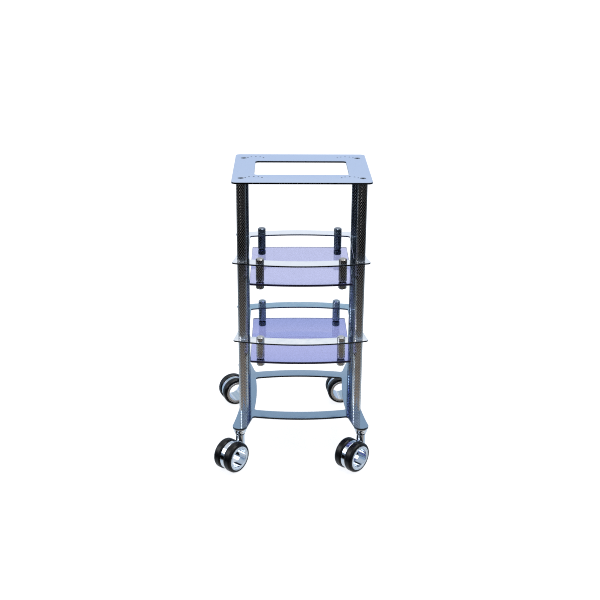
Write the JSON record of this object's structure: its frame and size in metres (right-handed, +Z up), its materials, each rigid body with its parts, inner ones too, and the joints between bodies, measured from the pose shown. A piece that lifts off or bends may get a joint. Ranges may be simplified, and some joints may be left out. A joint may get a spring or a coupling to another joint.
{
  "type": "rolling salon trolley",
  "caption": "Rolling salon trolley: open-windowed top plate on knurled columns, tinted glass shelves hung under gallery rings, and hubless twin-wheel swivel casters under a waisted base.",
  "frame": {"origin": "on the floor, under the middle of the column pattern", "axes": "+Z up, -Y the front with the fuller-bowed shelf edges, +X to the right seen from the front"},
  "size_m": [0.4347, 0.4997, 0.786],
  "materials": {
    "mirror_plate": "mirror polished, cool silver",
    "base_mirror": "mirror polished, blue-grey",
    "knurled_chrome": "coarse diamond knurl, bright plated",
    "screw_chrome": "bright plated",
    "caster_chrome": "bright plated casting",
    "plain_steel": "turned",
    "tinted_glass": "clear lilac tint, polished edges",
    "soft_washer": "matt",
    "black_seal": "matt",
    "tyre": "smooth moulded tread"
  },
  "bodies": {
    "frame": {"top_plate": "mirror_plate", "upper_ring": "mirror_plate", "lower_ring": "mirror_plate", "base_plate": "base_mirror", "top_screws": "screw_chrome", "base_screws": "screw_chrome", "upper_ring_studs": "plain_steel", "lower_ring_studs": "plain_steel", "caster_stems": "plain_steel", "lower_column_front_left": "knurled_chrome", "lower_column_front_right": "knurled_chrome", "lower_column_rear_left": "knurled_chrome", "lower_column_rear_right": "knurled_chrome", "middle_column_front_left": "knurled_chrome", "middle_column_front_right": "knurled_chrome", "middle_column_rear_left": "knurled_chrome", "middle_column_rear_right": "knurled_chrome", "upper_column_front_left": "knurled_chrome", "upper_column_front_right": "knurled_chrome", "upper_column_rear_left": "knurled_chrome", "upper_column_rear_right": "knurled_chrome", "lower_glass_shelf": "tinted_glass", "lower_post_caps": "knurled_chrome", "lower_post_spacers": "knurled_chrome", "lower_post_feet": "knurled_chrome", "lower_post_studs": "plain_steel", "lower_glass_washers": "soft_washer", "upper_glass_shelf": "tinted_glass", "upper_post_caps": "knurled_chrome", "upper_post_spacers": "knurled_chrome", "upper_post_feet": "knurled_chrome", "upper_post_studs": "plain_steel", "upper_glass_washers": "soft_washer", "caster_bosses": "caster_chrome", "caster_seals": "black_seal"},
    "front_left_caster": {"front_left_yoke": "caster_chrome", "front_left_retaining_rings": "caster_chrome"},
    "front_left_wheel_1": {"front_left_tyre_1": "tyre", "front_left_rim_1": "caster_chrome"},
    "front_left_wheel_2": {"front_left_tyre_2": "tyre", "front_left_rim_2": "caster_chrome"},
    "front_right_caster": {"front_right_yoke": "caster_chrome", "front_right_retaining_rings": "caster_chrome"},
    "front_right_wheel_1": {"front_right_tyre_1": "tyre", "front_right_rim_1": "caster_chrome"},
    "front_right_wheel_2": {"front_right_tyre_2": "tyre", "front_right_rim_2": "caster_chrome"},
    "rear_left_caster": {"rear_left_yoke": "caster_chrome", "rear_left_retaining_rings": "caster_chrome"},
    "rear_left_wheel_1": {"rear_left_tyre_1": "tyre", "rear_left_rim_1": "caster_chrome"},
    "rear_left_wheel_2": {"rear_left_tyre_2": "tyre", "rear_left_rim_2": "caster_chrome"},
    "rear_right_caster": {"rear_right_yoke": "caster_chrome", "rear_right_retaining_rings": "caster_chrome"},
    "rear_right_wheel_1": {"rear_right_tyre_1": "tyre", "rear_right_rim_1": "caster_chrome"},
    "rear_right_wheel_2": {"rear_right_tyre_2": "tyre", "rear_right_rim_2": "caster_chrome"}
  },
  "joints": [
    {"name": "front_left_swivel", "type": "hinge", "parent": "frame", "child": "front_left_caster", "pos_m": [-0.165, -0.197, 0.08], "axis": [0, 0, 1], "continuous": true},
    {"name": "front_left_roll_1", "type": "hinge", "parent": "front_left_caster", "child": "front_left_wheel_1", "pos_m": [-0.18814, -0.22458, 0.042], "axis": [0.766, -0.6428, 0], "continuous": true},
    {"name": "front_left_roll_2", "type": "hinge", "parent": "front_left_caster", "child": "front_left_wheel_2", "pos_m": [-0.18814, -0.22458, 0.042], "axis": [0.766, -0.6428, 0], "continuous": true},
    {"name": "front_right_swivel", "type": "hinge", "parent": "frame", "child": "front_right_caster", "pos_m": [0.165, -0.197, 0.08], "axis": [0, 0, 1], "continuous": true},
    {"name": "front_right_roll_1", "type": "hinge", "parent": "front_right_caster", "child": "front_right_wheel_1", "pos_m": [0.13999, -0.2229, 0.042], "axis": [0.7193, -0.6947, 0], "continuous": true},
    {"name": "front_right_roll_2", "type": "hinge", "parent": "front_right_caster", "child": "front_right_wheel_2", "pos_m": [0.13999, -0.2229, 0.042], "axis": [0.7193, -0.6947, 0], "continuous": true},
    {"name": "rear_left_swivel", "type": "hinge", "parent": "frame", "child": "rear_left_caster", "pos_m": [-0.165, 0.197, 0.08], "axis": [0, 0, 1], "continuous": true},
    {"name": "rear_left_roll_1", "type": "hinge", "parent": "rear_left_caster", "child": "rear_left_wheel_1", "pos_m": [-0.19814, 0.18293, 0.042], "axis": [0.3907, -0.9205, 0], "continuous": true},
    {"name": "rear_left_roll_2", "type": "hinge", "parent": "rear_left_caster", "child": "rear_left_wheel_2", "pos_m": [-0.19814, 0.18293, 0.042], "axis": [0.3907, -0.9205, 0], "continuous": true},
    {"name": "rear_right_swivel", "type": "hinge", "parent": "frame", "child": "rear_right_caster", "pos_m": [0.165, 0.197, 0.08], "axis": [0, 0, 1], "continuous": true},
    {"name": "rear_right_roll_1", "type": "hinge", "parent": "rear_right_caster", "child": "rear_right_wheel_1", "pos_m": [0.12927, 0.19261, 0.042], "axis": [0.1219, -0.9925, 0], "continuous": true},
    {"name": "rear_right_roll_2", "type": "hinge", "parent": "rear_right_caster", "child": "rear_right_wheel_2", "pos_m": [0.12927, 0.19261, 0.042], "axis": [0.1219, -0.9925, 0], "continuous": true}
  ]
}
